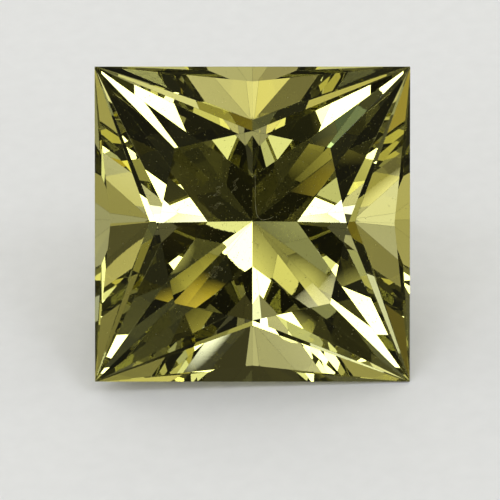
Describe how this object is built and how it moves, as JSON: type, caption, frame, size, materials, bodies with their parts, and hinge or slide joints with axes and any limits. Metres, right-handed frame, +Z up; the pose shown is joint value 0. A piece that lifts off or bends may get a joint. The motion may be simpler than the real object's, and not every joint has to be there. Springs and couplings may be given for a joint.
{
  "type": "square-cut sanidine gem",
  "caption": "Pale yellow sanidine crystal cut as a square gem with an eight-sided table, stepped crown and pointed pavilion, lying on a pavilion facet.",
  "frame": {"origin": "centre of the bounding box's underside, in the plane that the gem lies on", "axes": "+Z up out of that plane, -Y towards the side that the gem's table faces, +X to the right seen from there"},
  "size_m": [0.0102, 0.0084, 0.0087],
  "materials": {
    "sanidine": "clear, polished, pale greenish yellow"
  },
  "bodies": {
    "root": {"sanidine_gem": "sanidine"}
  },
  "joints": []
}
